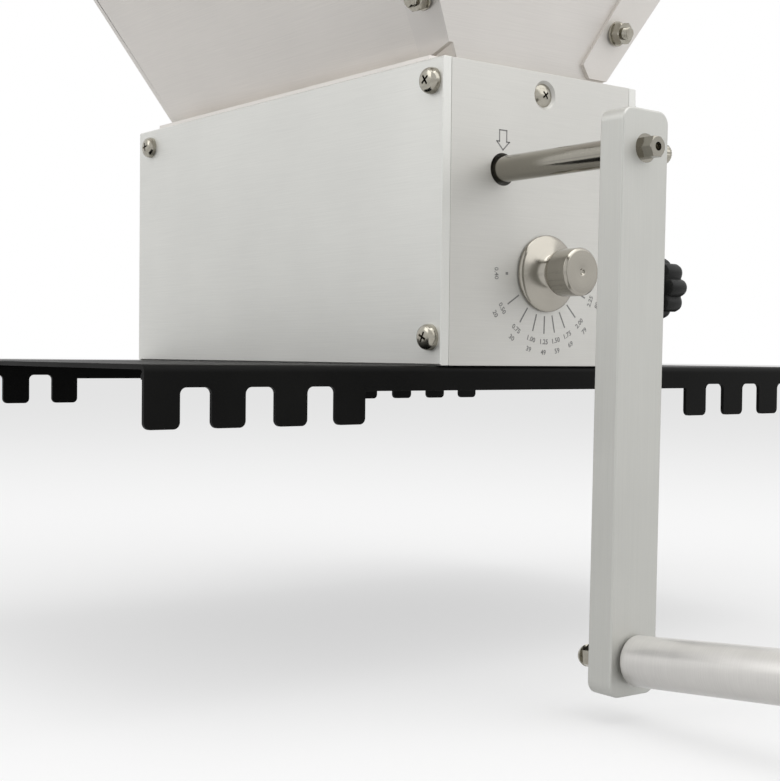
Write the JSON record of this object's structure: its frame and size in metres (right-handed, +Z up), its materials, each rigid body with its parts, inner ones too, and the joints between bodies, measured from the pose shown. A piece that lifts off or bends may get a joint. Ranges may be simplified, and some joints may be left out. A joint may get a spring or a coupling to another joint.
{
  "type": "grain mill",
  "caption": "Hand-cranked three-roller grain mill with a sheet-metal hopper, an eccentric gap adjuster and a slotted plate that lies across a bucket's rim.",
  "frame": {"origin": "middle of the seat plane, where the lower edges of the base plate's flanges rest on the bucket's rim", "axes": "+X out of the crank face along the rollers, +Y from the front cover to the back cover, +Z up"},
  "size_m": [0.5215, 0.416, 0.4476],
  "materials": {
    "body_aluminium": "fine brushed, clear anodised",
    "arm_aluminium": "matt, clear anodised",
    "grip_aluminium": "satin turned",
    "hopper_sheet": "brushed sheet",
    "plate_black": "satin black powder coat",
    "screw_steel": "plain stainless",
    "shaft_steel": "ground bright",
    "roller_steel": "knurled, oiled",
    "knob_steel": "polished stainless",
    "bearing_steel": "ground",
    "bush_bronze": "sintered bronze",
    "knob_plastic": "moulded black"
  },
  "bodies": {
    "frame": {"base_plate": "plate_black", "end_plate_right": "body_aluminium", "end_plate_left": "body_aluminium", "end_cover_left": "body_aluminium", "front_cover": "body_aluminium", "back_cover": "body_aluminium", "top_frame": "body_aluminium", "grain_guides": "hopper_sheet", "guide_screws": "screw_steel", "front_cover_screws": "screw_steel", "back_cover_screws": "screw_steel", "end_plate_screws": "screw_steel", "end_cover_screws": "screw_steel", "base_screws": "screw_steel", "bearing_outer_rings": "bearing_steel", "bearing_balls": "bearing_steel", "adjuster_bushes": "bush_bronze", "hopper_front": "hopper_sheet", "hopper_back": "hopper_sheet", "hopper_right": "hopper_sheet", "hopper_left": "hopper_sheet", "hopper_bolts": "screw_steel", "hopper_washers": "screw_steel", "hopper_nuts": "screw_steel", "hopper_foot_screws": "screw_steel"},
    "crank": {"drive_shaft": "shaft_steel", "drive_roller": "roller_steel", "drive_inner_rings": "bearing_steel", "crank_arm": "arm_aluminium", "crank_clamp_screw": "screw_steel", "handle_spindle": "shaft_steel", "handle_washer": "screw_steel", "handle_nut": "screw_steel", "handle_cap_nut": "screw_steel"},
    "handle": {"handle_grip": "grip_aluminium", "handle_end_cap": "knob_plastic"},
    "idle": {"idle_roller": "roller_steel", "idle_shaft": "shaft_steel", "idle_inner_rings": "bearing_steel"},
    "adjuster": {"adjuster_shaft": "shaft_steel", "adjuster_knob": "knob_steel", "knob_grub_screw": "screw_steel"},
    "lower": {"lower_roller": "roller_steel", "lower_roller_bushes": "bush_bronze"},
    "lock": {"lock_knob": "knob_plastic", "lock_stud": "screw_steel"}
  },
  "joints": [
    {"name": "crank_spin", "type": "hinge", "parent": "frame", "child": "crank", "pos_m": [0, -0.026, 0.1013], "axis": [1, 0, 0], "continuous": true},
    {"name": "handle_spin", "type": "hinge", "parent": "crank", "child": "handle", "pos_m": [0.2317, -0.02894, -0.10918], "axis": [0.9954, 0.0013, 0.0958], "continuous": true},
    {"name": "idle_spin", "type": "hinge", "parent": "frame", "child": "idle", "pos_m": [0, 0.026, 0.1013], "axis": [1, 0, 0], "continuous": true},
    {"name": "gap_adjust", "type": "hinge", "parent": "frame", "child": "adjuster", "pos_m": [0, 0.002, 0.05466], "axis": [1, 0, 0], "range_deg": [-45, 70]},
    {"name": "lower_spin", "type": "hinge", "parent": "adjuster", "child": "lower", "pos_m": [0, -0.00013, 0.05519], "axis": [1, 0, 0], "continuous": true},
    {"name": "lock_turn", "type": "hinge", "parent": "frame", "child": "lock", "pos_m": [0.137, 0, 0.05136], "axis": [0, 1, 0], "range_deg": [0, 360]}
  ]
}
